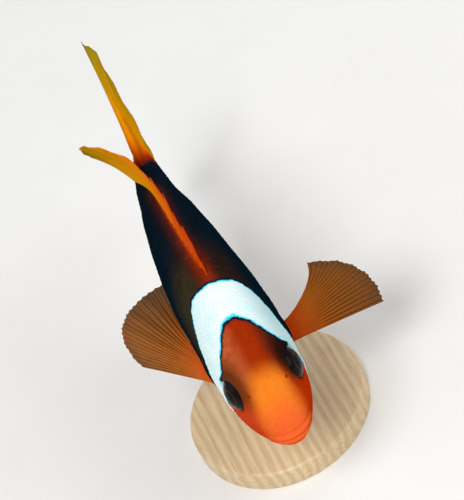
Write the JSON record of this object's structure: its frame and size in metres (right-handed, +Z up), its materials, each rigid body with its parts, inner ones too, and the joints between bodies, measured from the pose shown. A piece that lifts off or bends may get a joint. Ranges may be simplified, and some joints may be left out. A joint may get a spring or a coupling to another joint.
{
  "type": "clownfish model",
  "caption": "Life-size display model of a swimming clownfish with a pale head bar and spread fins, held level above a round base by a slim rod.",
  "frame": {"origin": "centre of the round base's underside, on the floor", "axes": "+Z up from the floor, +Y from the snout towards the tail, +X towards the fish's left side"},
  "size_m": [0.0517, 0.1139, 0.0689],
  "materials": {
    "skin_dark": "satin black-brown scales",
    "skin_orange": "satin orange skin",
    "fin_orange": "satin, thin and slightly see-through",
    "fin_yellow": "satin, thin and slightly see-through",
    "fin_dark": "satin black",
    "eye": "glossy dark eye with a brown iris",
    "wood": "pale maple, satin varnish",
    "steel": "brushed"
  },
  "bodies": {
    "root": {"head": "skin_orange", "upper_lip": "skin_orange", "lower_jaw": "skin_orange", "gill_cover_left": "skin_orange", "gill_cover_right": "skin_orange", "trunk": "skin_dark", "tail_stem": "skin_dark", "eye_left": "eye", "eye_right": "eye", "dorsal_fin_spiny": "fin_orange", "dorsal_fin_soft": "fin_orange", "anal_fin": "fin_dark", "tail_fin": "fin_yellow", "pectoral_fin_left": "fin_orange", "pectoral_fin_right": "fin_orange", "pelvic_fin_left": "fin_dark", "pelvic_fin_right": "fin_dark", "stand_base": "wood", "stand_rod": "steel"}
  },
  "joints": []
}
